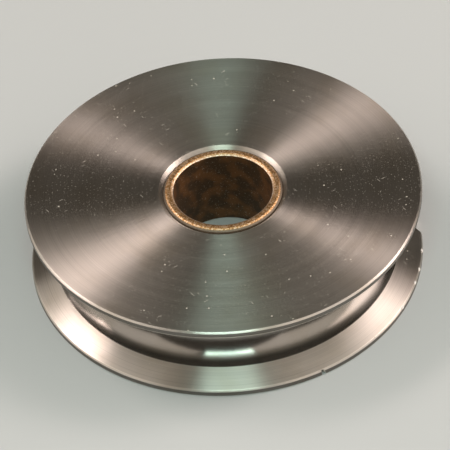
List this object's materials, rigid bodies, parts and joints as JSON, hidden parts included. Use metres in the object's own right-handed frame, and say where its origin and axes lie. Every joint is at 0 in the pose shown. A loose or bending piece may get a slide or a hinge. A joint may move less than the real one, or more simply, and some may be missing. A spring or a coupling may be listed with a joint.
{
  "type": "wire rope sheave",
  "caption": "Turned steel wire rope sheave with a round-bottomed rope groove and a plain bronze bushing pressed into its bore.",
  "frame": {"origin": "on the bore's axis, halfway through the width", "axes": "+Z along the bore's axis; the two side faces look along +Z and -Z; the damaged lower edge is on the -Z flange"},
  "size_m": [0.127, 0.127, 0.0286],
  "materials": {
    "turned_steel": "turned, bright and lightly scratched",
    "sintered_bronze": "sintered, granular ends with bright chamfers"
  },
  "bodies": {
    "root": {"sheave_wheel": "turned_steel", "bushing": "sintered_bronze"}
  },
  "joints": []
}
